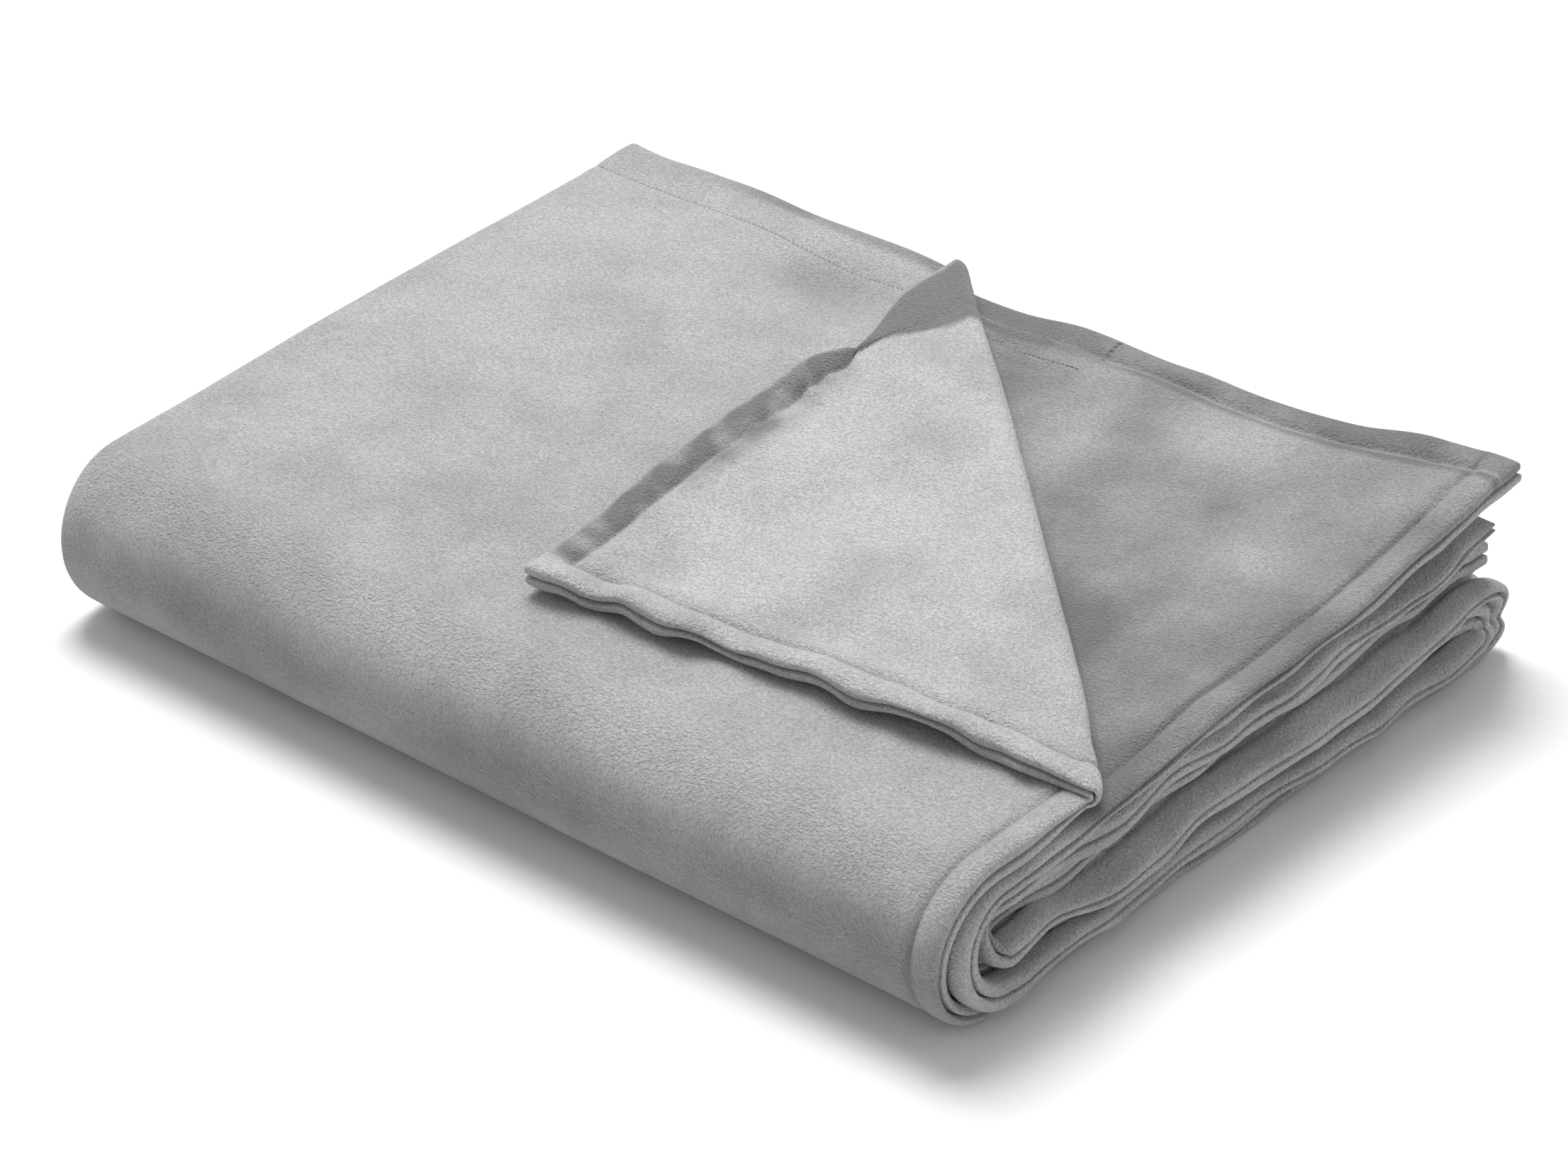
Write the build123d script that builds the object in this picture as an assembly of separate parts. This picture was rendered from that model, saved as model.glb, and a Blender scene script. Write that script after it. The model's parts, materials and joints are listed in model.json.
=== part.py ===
from build123d import *
import math
import os

# A two-panel plush throw, folded in half across its width and then twice along its length,
# so that it lies as a stack of eight leaves, with the top leaf's corner turned back.
# Frame: +X runs along the big rolled fold to the hemmed side, +Y from that fold to the loose
# ends, +Z is up. The origin is the middle of the stack's footprint, on the surface it lies on.

# Driving dimensions, in millimetres
STACK_LENGTH = 600.0  # half the throw's 1200 width
STACK_WIDTH = 430.0  # by the stack's proportions; each cut then comes to about 1700 long
PANEL = 5.1  # one panel of deep plush, with the air in its pile
PANEL_GAP = 0.4  # between the two panels of a leaf
LEAF_GAP = 0.6  # between one leaf and the next
LEAVES = 8
END_HEM_TURNED = 344.0  # how much of the end hem goes with the turned corner
SIDE_HEM_TURNED = 310.0  # how much of the side hem goes with it
HEM_MARGIN = 16.0  # from a hem's edge to its stitching
OPENING_FROM_CORNER = 250.0  # closed stretch of end hem before the cover's opening starts
OPENING_MARGIN = 31.0  # the stitching of the deeper hem along the opening
THREAD_WIDTH = 0.8
THREAD_HEIGHT = 0.4
HINGE_GAP = 0.5  # between a fold's axis and the flat leaves on either side of it

# Sizes that follow from them
LEAF = 2 * PANEL + PANEL_GAP
PITCH = LEAF + LEAF_GAP
HEIGHT = LEAVES * PITCH - LEAF_GAP
LONG_FOLD_RADIUS = HEIGHT / 2
END_FOLD_RADIUS = 2 * PITCH - LEAF_GAP / 2
X_CREASE = -STACK_LENGTH / 2
X_HEM = STACK_LENGTH / 2
Y_ROLL = -STACK_WIDTH / 2
Y_ENDS = STACK_WIDTH / 2
SIDE_FOLD_X = X_CREASE + LEAF + LEAF_GAP / 2
LONG_FOLD_Y = Y_ROLL + LONG_FOLD_RADIUS
LONG_FOLD_Z = HEIGHT / 2
END_FOLD_Y = Y_ENDS - END_FOLD_RADIUS
END_FOLD_Z = END_FOLD_RADIUS
LEAF_START_Y = LONG_FOLD_Y + HINGE_GAP
CORNER_FOLD_Z = HEIGHT + LEAF_GAP / 2
CORNER_BULGE = LEAF_GAP / 2 + LEAF  # how far the turned corner's bend stands past its axis


def leaf_bottom(leaf):
    """Height of the underside of a leaf, counted from 1 at the bottom to 8 at the top."""
    return (leaf - 1) * PITCH


def panel_bottom(leaf, face):
    """Underside of one panel of a leaf. The front face turns down on odd leaves, up on even ones."""
    front_is_upper = leaf % 2 == 0
    upper = front_is_upper if face == "front" else not front_is_upper
    return leaf_bottom(leaf) + (PANEL + PANEL_GAP if upper else 0.0)


def block(x_from, x_to, y_from, y_to, z_from, z_to):
    """A box between two corners."""
    solid = Box(x_to - x_from, y_to - y_from, z_to - z_from)
    return Pos((x_from + x_to) / 2, (y_from + y_to) / 2, (z_from + z_to) / 2) * solid


def half_ring(inner, thickness, length):
    """Half a tube about the X axis, on its -Y side: a panel's bend where it turns back on itself."""
    outer = inner + thickness
    tube = Cylinder(outer, length, rotation=(0, 90, 0)) - Cylinder(inner, length, rotation=(0, 90, 0))
    return tube & block(-length, length, -2 * outer, 0, -2 * outer, 2 * outer)


# The turned corner's crease, a slanting line across the top leaf
crease_end_hem = Vector(X_HEM - END_HEM_TURNED, Y_ENDS)
crease_side_hem = Vector(X_HEM, Y_ENDS - SIDE_HEM_TURNED)
crease_length = (crease_side_hem - crease_end_hem).length
crease_along = (crease_side_hem - crease_end_hem).normalized()
crease_outward = Vector(-crease_along.Y, crease_along.X)
crease_angle = math.degrees(math.atan2(crease_along.Y, crease_along.X))
crease_middle = (crease_end_hem + crease_side_hem) * 0.5 - crease_outward * CORNER_BULGE
corner_fold_axis = Axis(
    (crease_middle.X, crease_middle.Y, CORNER_FOLD_Z), (crease_along.X, crease_along.Y, 0)
)


def corner_side(offset):
    """Everything on the corner's side of the crease axis, starting at an offset from it."""
    reach = 2 * crease_length
    half_space = Pos(0, offset + reach / 2, 0) * Box(2 * reach, reach, 4 * HEIGHT)
    return Pos(crease_middle.X, crease_middle.Y, HEIGHT) * Rot(0, 0, crease_angle) * half_space


def flat_panel(leaf, face, y_end):
    """The flat stretch of one panel on one leaf."""
    z = panel_bottom(leaf, face)
    return block(SIDE_FOLD_X, X_HEM, LEAF_START_Y, y_end, z, z + PANEL)


def quarter(upper_leaf, face, y_end):
    """One panel's quarter of the throw: two leaves of it, joined by the side fold at -X."""
    lower_leaf = upper_leaf - 1
    top = flat_panel(upper_leaf, face, y_end)
    if upper_leaf == LEAVES:
        top = top - corner_side(-HINGE_GAP)
    inner = (PANEL_GAP + LEAF_GAP / 2 + PANEL) if face == "front" else LEAF_GAP / 2
    side_fold = Rot(0, 0, -90) * half_ring(inner, PANEL, y_end - LEAF_START_Y)
    middle_y = (LEAF_START_Y + y_end) / 2
    middle_z = leaf_bottom(upper_leaf) - LEAF_GAP / 2
    return top + flat_panel(lower_leaf, face, y_end) + Pos(SIDE_FOLD_X, middle_y, middle_z) * side_fold


def long_fold_bend(upper_leaf, face):
    """One panel's turn round the rolled fold, from a leaf of the lower half up to its upper leaf."""
    inner = panel_bottom(upper_leaf, face) - LONG_FOLD_Z
    length = X_HEM - SIDE_FOLD_X
    middle_x = (X_HEM + SIDE_FOLD_X) / 2
    bend = Pos(middle_x, LONG_FOLD_Y, LONG_FOLD_Z) * half_ring(inner, PANEL, length)
    z_from = LONG_FOLD_Z - inner - PANEL
    foot = block(SIDE_FOLD_X, X_HEM, LONG_FOLD_Y, LEAF_START_Y, z_from, z_from + PANEL)
    return bend + foot


def end_fold_bend(upper_leaf, face):
    """One panel's turn at the far end of the lower half, from leaf 1 or 2 up to leaf 4 or 3."""
    inner = panel_bottom(upper_leaf, face) - END_FOLD_Z
    length = X_HEM - SIDE_FOLD_X
    middle_x = (X_HEM + SIDE_FOLD_X) / 2
    return Pos(middle_x, END_FOLD_Y, END_FOLD_Z) * Rot(0, 0, 180) * half_ring(inner, PANEL, length)


def corner_crease_bend(inner):
    """One panel's turn round the corner's crease, trimmed flush with the two hems."""
    bend = Rot(0, 0, crease_angle + 180) * half_ring(inner, PANEL, crease_length)
    bend = Pos(crease_middle.X, crease_middle.Y, CORNER_FOLD_Z) * bend
    return bend & block(X_CREASE, X_HEM, Y_ROLL, Y_ENDS, 0, 2 * HEIGHT)


def turned_over(solid):
    """A piece of the top leaf's corner, swung over its crease to lie on the leaf."""
    return solid.rotate(corner_fold_axis, 180)


def corner_panel(face):
    """One panel of the turned corner."""
    return turned_over(flat_panel(LEAVES, face, Y_ENDS) & corner_side(HINGE_GAP))


def thread_along_y(leaf, y_from, y_to):
    """The side hem's stitching on a leaf's upper face."""
    x = X_HEM - HEM_MARGIN
    z = leaf_bottom(leaf) + LEAF
    return block(x - THREAD_WIDTH, x, y_from, y_to, z, z + THREAD_HEIGHT)


def thread_along_x(leaf, x_from, x_to, margin):
    """The end hem's stitching on a leaf's upper face."""
    y = Y_ENDS - margin
    z = leaf_bottom(leaf) + LEAF
    return block(x_from, x_to, y - THREAD_WIDTH, y, z, z + THREAD_HEIGHT)


def opening_bartack(leaf):
    """The short bar of thread that ends the cover's opening, across the hem."""
    x = X_HEM - OPENING_FROM_CORNER
    z = leaf_bottom(leaf) + LEAF
    return block(x - 2, x, Y_ENDS - OPENING_MARGIN + 2, Y_ENDS - HEM_MARGIN - 2, z, z + THREAD_HEIGHT)


nodes = {}

# The panels, a quarter of the throw at a time, numbered from the end with the turned corner
for face in ("front", "back"):
    nodes[face + "_panel_quarter_1"] = quarter(8, face, Y_ENDS)
    nodes[face + "_panel_quarter_2"] = quarter(2, face, END_FOLD_Y)
    nodes[face + "_panel_quarter_3"] = quarter(4, face, END_FOLD_Y)
    nodes[face + "_panel_quarter_4"] = quarter(6, face, Y_ENDS)
    nodes[face + "_panel_end_fold"] = end_fold_bend(4, face) + end_fold_bend(3, face)
    for place, upper_leaf in (("outermost", 8), ("second", 7), ("third", 6), ("innermost", 5)):
        nodes[face + "_panel_" + place + "_long_fold"] = long_fold_bend(upper_leaf, face)
    nodes[face + "_panel_turned_corner"] = corner_panel(face)
nodes["front_panel_corner_crease"] = corner_crease_bend(LEAF_GAP / 2)
nodes["back_panel_corner_crease"] = corner_crease_bend(LEAF_GAP / 2 + PANEL + PANEL_GAP)

# The hem stitching that shows on each quarter
for number, upper_leaf in ((1, 8), (2, 2), (3, 4), (4, 6)):
    y_end = Y_ENDS if number in (1, 4) else END_FOLD_Y
    lower_thread = thread_along_y(upper_leaf - 1, LEAF_START_Y, y_end)
    if number == 1:
        upper_thread = thread_along_y(8, LEAF_START_Y, y_end) - corner_side(-HINGE_GAP)
    elif number == 3:
        upper_thread = None
    else:
        upper_thread = thread_along_y(upper_leaf, LEAF_START_Y, y_end)
    threads = [lower_thread] if upper_thread is None else [lower_thread, upper_thread]
    nodes["side_hem_thread_quarter_" + str(number)] = Compound(children=threads)

nodes["opening_hem_thread_quarter_1"] = Compound(
    children=[
        thread_along_x(8, SIDE_FOLD_X, X_HEM, OPENING_MARGIN) - corner_side(-HINGE_GAP),
        thread_along_x(7, SIDE_FOLD_X, X_HEM - OPENING_FROM_CORNER - 2, OPENING_MARGIN),
    ]
)
end_hem_stop = X_HEM - HEM_MARGIN - 2 * THREAD_WIDTH
nodes["end_hem_thread_quarter_1"] = thread_along_x(
    7, X_HEM - OPENING_FROM_CORNER + 1, end_hem_stop, HEM_MARGIN
)
nodes["opening_bartack_quarter_1"] = opening_bartack(7)
nodes["end_hem_thread_quarter_4"] = Compound(
    children=[
        thread_along_x(6, SIDE_FOLD_X, end_hem_stop, HEM_MARGIN),
        thread_along_x(5, SIDE_FOLD_X, end_hem_stop, HEM_MARGIN),
    ]
)

# The stitching that goes with the turned corner. It lies on the back panel, now on top, so it
# is laid out under the leaf before the corner is swung over.
thread_drop = Pos(0, 0, -LEAF - THREAD_HEIGHT)
crossing = block(
    X_HEM - HEM_MARGIN - THREAD_WIDTH, X_HEM, Y_ENDS - HEM_MARGIN - THREAD_WIDTH, Y_ENDS, 0, 2 * HEIGHT
)
side_row = thread_along_y(8, LEAF_START_Y, Y_ENDS) - crossing
end_row = thread_along_x(8, X_HEM - OPENING_FROM_CORNER + 1, end_hem_stop, HEM_MARGIN)
opening_row = thread_along_x(8, SIDE_FOLD_X, X_HEM - OPENING_FROM_CORNER - 3, OPENING_MARGIN)
nodes["side_hem_thread_turned_corner"] = turned_over(thread_drop * (side_row & corner_side(HINGE_GAP)))
nodes["end_hem_thread_turned_corner"] = turned_over(thread_drop * (end_row & corner_side(HINGE_GAP)))
nodes["opening_hem_thread_turned_corner"] = turned_over(
    thread_drop * (opening_row & corner_side(HINGE_GAP))
)
nodes["opening_bartack_turned_corner"] = turned_over(thread_drop * opening_bartack(8))

os.makedirs("parts", exist_ok=True)
for name, solid in nodes.items():
    export_step(solid, "parts/" + name + ".step")

print("stack height", round(HEIGHT, 2))
print("long fold axis y, z", round(LONG_FOLD_Y, 3), round(LONG_FOLD_Z, 3))
print("corner fold axis point", round(crease_middle.X, 3), round(crease_middle.Y, 3), CORNER_FOLD_Z)
print("corner fold direction", round(crease_along.X, 5), round(crease_along.Y, 5))
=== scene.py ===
# %% [markdown]
# # A folded plush throw
# A throw is two cuts of soft cloth sewn together along their edges and turned right side out.
# Here it lies folded into eight leaves, with the top leaf's corner turned back. The CAD frame
# gives the stack's size, where the cloth is divided and how it opens. This file gives it its
# looks: the roll, the soft hems, the puckers beside the stitching, and the nap.

# %% Load the frame and read the throw's sizes from it
import json
import math
import bmesh
import bpy
from mathutils import Matrix, Vector, noise


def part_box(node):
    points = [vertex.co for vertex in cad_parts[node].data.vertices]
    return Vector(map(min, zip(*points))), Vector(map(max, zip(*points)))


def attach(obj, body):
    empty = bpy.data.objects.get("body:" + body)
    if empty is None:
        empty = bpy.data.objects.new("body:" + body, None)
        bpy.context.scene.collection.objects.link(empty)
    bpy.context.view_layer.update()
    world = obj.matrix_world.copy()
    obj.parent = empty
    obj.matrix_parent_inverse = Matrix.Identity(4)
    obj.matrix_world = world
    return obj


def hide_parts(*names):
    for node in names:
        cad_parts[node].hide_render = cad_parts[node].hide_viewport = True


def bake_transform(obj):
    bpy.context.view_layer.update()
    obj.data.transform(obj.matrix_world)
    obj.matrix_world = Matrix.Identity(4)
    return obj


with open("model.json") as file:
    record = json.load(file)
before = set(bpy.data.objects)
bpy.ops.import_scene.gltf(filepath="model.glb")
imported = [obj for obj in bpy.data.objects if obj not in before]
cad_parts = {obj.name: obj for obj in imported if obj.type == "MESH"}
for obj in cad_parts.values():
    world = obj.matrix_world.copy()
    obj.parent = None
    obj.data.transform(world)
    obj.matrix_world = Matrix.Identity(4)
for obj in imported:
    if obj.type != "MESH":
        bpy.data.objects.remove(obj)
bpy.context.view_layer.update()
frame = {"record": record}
MM = 0.001


def span(node, axis):
    """How far a CAD node reaches along one axis."""
    low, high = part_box(node)
    return high[axis] - low[axis]


joints = {joint["name"]: joint for joint in frame["record"]["behaviour"]["joints"]}
PANEL = span("front_panel_turned_corner", 2)
PAIR = span("front_panel_quarter_2", 2)
HEIGHT = span("front_panel_outermost_long_fold", 2)
LEAF_GAP = (HEIGHT - 4 * PAIR) / 3
LEAF = (PAIR - LEAF_GAP) / 2
PITCH = LEAF + LEAF_GAP
PANEL_GAP = LEAF - 2 * PANEL
X_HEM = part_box("front_panel_quarter_1")[1][0]
Y_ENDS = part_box("front_panel_quarter_1")[1][1]
SIDE_FOLD_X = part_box("front_panel_outermost_long_fold")[0][0]
LONG_FOLD_Y = joints["long_fold"]["pos_m"][1]
END_FOLD_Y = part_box("front_panel_end_fold")[0][1]
print("leaf", round(LEAF / MM, 2), "mm, panel", round(PANEL / MM, 2), "mm")
print("stack", round(HEIGHT / MM, 1), "mm")

# %% [markdown]
# ## The crease of the turned corner
# The corner is folded over along a slanting line. Everything about it is easier to say in
# terms of one number: how far a point lies past that line, towards the loose corner.

# %% The crease
CREASE_POINT = Vector(joints["corner_fold"]["pos_m"])
CREASE_ALONG = -Vector(joints["corner_fold"]["axis"]).normalized()
CREASE_OUT = Vector((-CREASE_ALONG.y, CREASE_ALONG.x, 0))


def past_crease(x, y):
    """Distance from the crease axis towards the corner, negative on the leaf's side."""
    return (x - CREASE_POINT.x) * CREASE_OUT.x + (y - CREASE_POINT.y) * CREASE_OUT.y


CORNER_REACH = past_crease(X_HEM, Y_ENDS)
print("the corner reaches", round(CORNER_REACH / MM), "mm past its crease")

# %% [markdown]
# ## Small helpers for soft shapes
# Cloth has no sharp changes, so nearly every shape below is a smooth step, a soft bump or a
# slow ripple. Blender's own noise gives the same ripples on every run.


# %% Soft steps, bumps and ripples
def ease(t):
    """A smooth step from 0 to 1 as t goes from 0 to 1."""
    t = min(max(t, 0.0), 1.0)
    return t * t * (3 - 2 * t)


def bump(t):
    """A soft hill, 1 at t = 0 and gone by t = 1 either way."""
    return math.exp(-3 * t * t)


def ripple(x, y, length, seed):
    """A slow random wave with about that length between its crests."""
    return noise.noise(Vector((x / length, y / length, seed * 7.31)))


# %% [markdown]
# ## How the leaves lie on each other
# Eight leaves of two panels each make sixteen layers. If every layer had its own random
# waves, they would cut through each other. So the borders between leaves are shaped, and a
# leaf fills the room between two borders, which neighbours share. What the hems add to a face
# stands proud of its border, so some neighbours still cross a little near the hems.

# %% Borders between the leaves
# Shifts, lifts and droops are in millimetres, for each leaf counted from the floor up.
LEAVES_OF = {1: (8, 7), 2: (1, 2), 3: (4, 3), 4: (5, 6)}
EDGE_SHIFT = {8: 0, 7: 2, 6: -5, 5: -11, 4: 2, 3: -9, 2: 1, 1: -7}
END_SHIFT = {8: 0, 7: 5, 6: -5, 5: -3}
LIFT = {7: (12, 21), 6: (8, 6), 5: (5, 3), 4: (3, 1), 3: (1.6, 0), 2: (0.8, 0)}
DROOP = {6: 9.0, 4: 9.5}
DROOP_LENGTH = 24 * MM
FREE = 1.0  # metres from a loose end, for a leaf that has none


def lift(leaf, x, y):
    """How far a leaf springs up beside the turned corner, where nothing weighs on it."""
    near, tip = LIFT.get(leaf, (0, 0))
    reach = past_crease(x, y)
    curl = ease((reach - 0.10) / (CORNER_REACH - 0.10))
    return (near * ease(reach / 0.09) + tip * curl**1.5) * MM


def loft(border, x, y, from_side, from_end):
    """The waviness of one border, which grows towards the hems."""
    if border == 0:
        return 0.0
    rim = max(ease(1 - from_side / 0.07), 0.7 * ease(1 - from_end / 0.05))
    crumple = max(0.0, 1 - 7 * abs(ripple(x * 0.6, y, 0.033, border + 60))) if border < 7 else 0.0
    return (0.3 * ripple(x, y, 0.04, border) + rim * (4.0 * ripple(x, y, 0.04, border) - 1.9 * crumple)) * MM


def droop(leaf, y, from_side):
    """How far a leaf's side hem hangs over the shorter leaf below it."""
    middle = ease((y - LONG_FOLD_Y - 0.02) / 0.07) * ease((Y_ENDS - 0.03 - y) / 0.07)
    depth = DROOP.get(leaf, 0) * MM * (0.8 + 0.3 * ripple(y, leaf, 0.09, 3))
    return depth * middle * ease(1 - from_side / DROOP_LENGTH)


# %% [markdown]
# ## The sewn hems
# A hem is the throw's edge turned in and stitched. The stitching pulls the cloth into a
# narrow groove, the band outside it puffs up, and the thread gathers small puckers. Along the
# cover's mouth the hem is deeper, and its inner edge shows as a step.

# %% The profile of a hem
HEM_MARGIN = 16 * MM
OPENING_MARGIN = 31 * MM
OPENING_DEPTH = 40 * MM
OPENING_FROM_CORNER = 250 * MM
# Rows of stitches get a line of painted shade, for the groove that the thread pulls.
SEAM_SHADE = 1.9 * MM  # half width of the dark line along a row of stitches


def closed_hem(distance):
    """Height added to the outer face by the narrow, closed hem."""
    band = 1.0 * math.sin(math.pi * min(distance / HEM_MARGIN, 1.0)) ** 0.8
    groove = -2.1 * bump((distance - HEM_MARGIN) / (2.9 * MM))
    shoulder = 0.5 * bump((distance - 24 * MM) / (9 * MM))
    return (band + groove + shoulder) * MM


def mouth_depth(from_side):
    """Depth of the mouth's hem. It narrows towards the bartack, where it is pinched."""
    return OPENING_DEPTH * (0.86 + 0.14 * ease((from_side - OPENING_FROM_CORNER) / 0.075))


def opening_hem(distance, from_side):
    """Height added to the outer face by the deep hem along the cover's mouth."""
    distance *= OPENING_DEPTH / mouth_depth(from_side)
    band = 0.9 * ease(distance / (6 * MM)) * ease((OPENING_DEPTH + 1.5 * MM - distance) / (3 * MM))
    groove = -1.3 * bump((distance - OPENING_MARGIN) / (2.6 * MM))
    return (band + groove) * MM


def pucker(along, distance, seed):
    """Small gathers that the thread makes on either side of itself."""
    reach = bump((distance - HEM_MARGIN) / (24 * MM))
    return 0.55 * MM * reach * ripple(along, 0, 0.0105, seed)


def rim_roundness(distance):
    return -1.5 * MM * math.exp(-((distance / (1.5 * MM)) ** 2))


def outer_face(leaf, face, x, y, from_side, from_end):
    """Height that the hems add to a panel's outer face."""
    opening = ease((from_side - OPENING_FROM_CORNER) / (8 * MM)) if leaf > 6 else 0.0
    nearest = min(from_side, from_end)
    height = rim_roundness(nearest)
    if opening > 0 and from_end < from_side:
        depth = 0.35 if face == "front" else 1.0
        height += opening * depth * opening_hem(from_end, from_side)
        return height + (1 - opening) * closed_hem(from_end)
    height += closed_hem(nearest)
    height += pucker(y, from_side, leaf) + pucker(x, from_end, leaf + 20)
    return height


# %% [markdown]
# ## From the flat cut to the folded stack
# Every panel starts as a flat cut. Two numbers say where a point is on it: across, from the
# side fold (0) out to either side hem, and along. Folding is then a function from the flat
# cut to its place in the stack, and neighbouring pieces use the same function, so they meet.

# %% Where a point of a leaf lies
def mouth_dip(x, y):
    """Where the top leaf sinks in front of its loose end, behind the turned corner."""
    away = math.hypot(x - CREASE_POINT.x + 0.225, (y - Y_ENDS + 0.045) * 1.5)
    return ease(-past_crease(x, y) / 0.03) * bump(away / 0.06)


def pinched_crease(x, y):
    """How much the leaf is squashed where its crease runs out at either edge."""
    out = past_crease(x, y)
    at_side = 0.8 * bump(out / 0.03) * ease(1 - (X_HEM - x) / 0.07)
    return max(bump(out / 0.05) * ease(1 - (Y_ENDS - y) / 0.11), at_side)


ARC_HALF = math.pi / 2 * (LEAF_GAP / 2 + PANEL + PANEL_GAP + PANEL / 2)
ACROSS = ARC_HALF + X_HEM - SIDE_FOLD_X


def leaf_point(leaf, x, y, face, side):
    """A point on one face of a panel, on the flat part of a leaf."""
    from_side = X_HEM - x
    from_end = Y_ENDS - y if leaf > 4 else FREE
    raised = lift(leaf, x, y) - droop(leaf, y, from_side)
    bottom = (leaf - 1) * PITCH + raised + loft(leaf - 1, x, y, from_side, from_end)
    top = (leaf - 1) * PITCH + LEAF + raised + loft(leaf, x, y, from_side, from_end)
    if leaf == 8:
        top -= 5.5 * MM * mouth_dip(x, y)
    seam = (top + bottom) / 2
    half_gap = PANEL_GAP / 2 + 0.9 * MM * math.exp(-((min(from_side, from_end) / (2.6 * MM)) ** 2))
    upper = (leaf % 2 == 0) == (face == "front")
    if side == "show":
        proud = outer_face(leaf, face, x, y, from_side, from_end)
        z = top + proud if upper else bottom - proud
    else:
        z = seam + half_gap if upper else seam - half_gap
    sway = 7.0 if 1 < leaf < 7 else 2.0
    if leaf == 8:
        z += (CREASE_POINT.z - z) * 0.45 * pinched_crease(x, y)
        room = 0.25 * MM - 0.25 * max(abs(past_crease(x, y)) - 3 * MM, 0.0)
        z = min(z, CREASE_POINT.z - room)
    side_shift = (
        EDGE_SHIFT[leaf] + sway * ripple(y, leaf, 0.045, 4) + 1.2 * ripple(y, leaf, 0.018, 5 + upper)
    )
    end_shift = END_SHIFT.get(leaf, 0) + 1.5 * ripple(x, leaf, 0.07, 6) if leaf > 4 else 0
    x += side_shift * MM * ease(1 - from_side / 0.09)
    y += end_shift * MM * ease(1 - from_end / 0.09)
    return Vector((x, y, max(z, 0.0)))


def quarter_point(quarter, across, y, face, side):
    """A point of one quarter of the throw: two leaves joined by the side fold."""
    alpha, beta = LEAVES_OF[quarter]
    straight = abs(across) - ARC_HALF
    if straight >= 0:
        return leaf_point(alpha if across > 0 else beta, SIDE_FOLD_X + straight, y, face, side)
    upper = leaf_point(max(alpha, beta), SIDE_FOLD_X, y, face, side)
    lower = leaf_point(min(alpha, beta), SIDE_FOLD_X, y, face, side)
    turn = math.pi * (across + ARC_HALF) / (2 * ARC_HALF)
    if alpha < beta:
        turn = math.pi - turn
    radius = (upper.z - lower.z) / 2
    middle = (upper + lower) / 2
    return middle - Vector((radius * math.sin(turn), 0, radius * math.cos(turn)))


# %% Where a point lies in a bend
INNER_REACH = {"outer": 1.0, "inner": 0.86}


def long_fold_point(level, across, turn, face, side):
    """A point in the rolled fold, turn 0 at its foot and pi at its top."""
    upper_quarter, lower_quarter = (1, 2) if level == "outer" else (4, 3)
    upper = quarter_point(upper_quarter, across, LONG_FOLD_Y, face, side)
    lower = quarter_point(lower_quarter, across, LONG_FOLD_Y, face, side)
    radius = (upper.z - lower.z) / 2
    second = ease(-across / ARC_HALF + 1)
    reach = INNER_REACH[level] - 0.07 * second
    point = lower.lerp(upper, turn / math.pi)
    point.y = LONG_FOLD_Y - radius * math.sin(turn) * reach
    point.z = (upper.z + lower.z) / 2 - radius * math.cos(turn)
    return point


def end_fold_point(across, turn, face, side):
    """A point in the end fold. Near the side hem the stiff hems push two ears out of it."""
    upper = quarter_point(3, across, END_FOLD_Y, face, side)
    lower = quarter_point(2, across, END_FOLD_Y, face, side)
    radius = (upper.z - lower.z) / 2
    straight = abs(across) - ARC_HALF
    near_hem = ease((SIDE_FOLD_X + straight - X_HEM + 0.05) / 0.05) if straight > 0 else 0.0
    ears = 1 + near_hem * (0.55 * abs(math.sin(2 * turn)) - 0.12)
    point = lower.lerp(upper, turn / math.pi)
    point.y = END_FOLD_Y + radius * math.sin(turn) * ears
    point.z = (upper.z + lower.z) / 2 - radius * math.cos(turn)
    return point


# %% [markdown]
# ## How the whole stack settles
# One last, gentle warp moves every layer together: the stack is plumper towards the closed
# side folds and the back, the top dips a little here and there, and no edge stays quite
# straight. The warp fades to nothing at the floor.

# %% Settling
def settle(point):
    """Moves a point with the slow sag and sway of the whole stack."""
    share = min(point.z / HEIGHT, 1.0)
    west = ease((0.16 - point.x) / 0.30)
    back = min(max((point.y + Y_ENDS) / (2 * Y_ENDS), 0.0), 1.0)
    plumper = (3.0 + 8.0 * back) * west
    rim = 1.0 * west * ease((point.y - 0.17) / 0.045)
    valley = 2.5 * bump((point.x + 0.085) / 0.07) * bump((point.y - 0.15) / 0.05)
    sway = 1.8 * ripple(point.x, point.y, 0.16, 11) + 0.7 * ripple(point.x, point.y, 0.07, 12)
    z = point.z + share**2 * (plumper + rim - valley + sway) * MM
    y = point.y + 1.6 * MM * ripple(point.x, point.z, 0.17, 13) * ease((LONG_FOLD_Y + 0.05 - point.y) / 0.05)
    y += 1.5 * MM * ripple(point.x, point.z, 0.12, 14) * ease((point.y - 0.15) / 0.06)
    return Vector((point.x, y, max(z, 0.0)))


# %% [markdown]
# ## Cutting, folding and thickening a piece
# A grid is the flat cut. Its rows stand close together beside the hems, where the shape
# changes fastest. Extruding the grid gives the panel its second face, and then each vertex
# is carried to its place in the stack.

# %% Rows of the flat cut
# Distances from the hem in millimetres.
HEM_ROWS = [0, 0.9, 2.2, 4.5, 8, 12, 14.8, 16, 17.2, 20, 25, 29.8, 31, 32.2, 36, 39, 41.5, 46, 53]
LAP = 12 * MM


def even(start, stop, step):
    """Evenly spaced stops from start to stop, about a step apart, with both ends."""
    count = max(1, round(abs(stop - start) / step))
    return [start + (stop - start) * i / count for i in range(count + 1)]


def from_hem(length, step=10 * MM):
    """Stops from a hem inwards: close together at the hem, then evenly spaced."""
    rows = [row * MM for row in HEM_ROWS]
    return rows[:-1] + even(rows[-1], length, step)


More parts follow.
